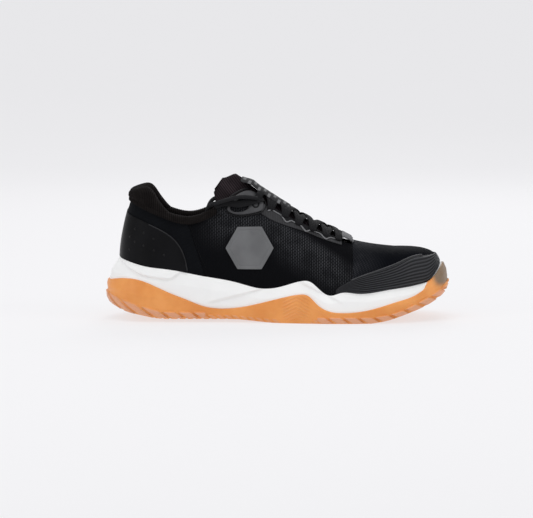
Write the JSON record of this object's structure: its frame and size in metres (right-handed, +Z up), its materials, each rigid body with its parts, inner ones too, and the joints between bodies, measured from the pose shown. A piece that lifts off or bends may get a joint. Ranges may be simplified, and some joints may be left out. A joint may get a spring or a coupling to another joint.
{
  "type": "court shoe",
  "caption": "Low indoor court shoe with a padded collar, laced instep, wrapped gum outsole, loose insole and a free padded tongue.",
  "frame": {"origin": "on the ground, at the middle of the shoe's box seen from above", "axes": "+X to the toe, +Y to the inner side of a right foot, +Z up"},
  "size_m": [0.2998, 0.104, 0.1299],
  "materials": {
    "gum_rubber": "satin gum rubber",
    "midsole_foam": "white moulded foam",
    "board": "needled board",
    "insole_foam": "open-cell foam",
    "insole_cloth": "knit cloth",
    "rear_mesh": "fine dotted mesh",
    "front_mesh": "striped engineered mesh",
    "film": "smooth welded film",
    "guard": "ribbed rubberised film",
    "grey_film": "satin grey film",
    "trim": "light grey webbing",
    "emblem": "grey welded film",
    "counter": "stiff moulded sheet",
    "puff": "thin stiffener sheet",
    "padding": "soft open-cell foam",
    "lining": "lining mesh",
    "rib_knit": "ribbed knit",
    "tongue_knit": "padded knit",
    "label": "woven label webbing",
    "patch": "shiny dark film",
    "lace": "flat woven lace",
    "aglet": "hard sleeve"
  },
  "bodies": {
    "shoe": {"outsole": "gum_rubber", "midsole": "midsole_foam", "strobel_board": "board", "rear_mesh_lateral": "rear_mesh", "rear_mesh_medial": "rear_mesh", "quarter_mesh_lateral": "front_mesh", "quarter_mesh_medial": "front_mesh", "toe_mesh": "front_mesh", "heel_film": "film", "toe_guard": "guard", "eyestay_lateral": "grey_film", "eyestay_medial": "grey_film", "lace_loops_lateral": "trim", "lace_loops_medial": "trim", "top_eyelet_plate_lateral": "grey_film", "top_eyelet_plate_medial": "grey_film", "side_emblem_lateral": "emblem", "side_emblem_medial": "emblem", "heel_counter": "counter", "collar_foam": "padding", "heel_lining": "lining", "quarter_lining_lateral": "lining", "quarter_lining_medial": "lining", "toe_lining": "lining", "toe_puff": "puff", "collar_band": "rib_knit", "heel_tab": "rib_knit", "throat_patch": "patch", "throat_tab": "trim", "lace": "lace", "lace_end_lateral": "lace", "lace_end_medial": "lace", "aglet_lateral": "aglet", "aglet_medial": "aglet"},
    "tongue": {"tongue_shell": "tongue_knit", "tongue_foam": "padding", "tongue_lining": "lining", "tongue_label": "label"},
    "insole": {"insole_foam": "insole_foam", "insole_top_cloth": "insole_cloth"}
  },
  "joints": [
    {"name": "tongue_dip", "type": "hinge", "parent": "shoe", "child": "tongue", "pos_m": [0.064, 0.00194, 0.061], "axis": [0, -1, 0], "range_deg": [0, 5], "stiffness_Nm_per_rad": 0.4, "springref_deg": -4.58, "deforming": ["lace"]},
    {"name": "insole_lift", "type": "hinge", "parent": "shoe", "child": "insole", "pos_m": [0.1375, 0.00194, 0.031], "axis": [0, 1, 0], "range_deg": [0, 4.5]}
  ]
}
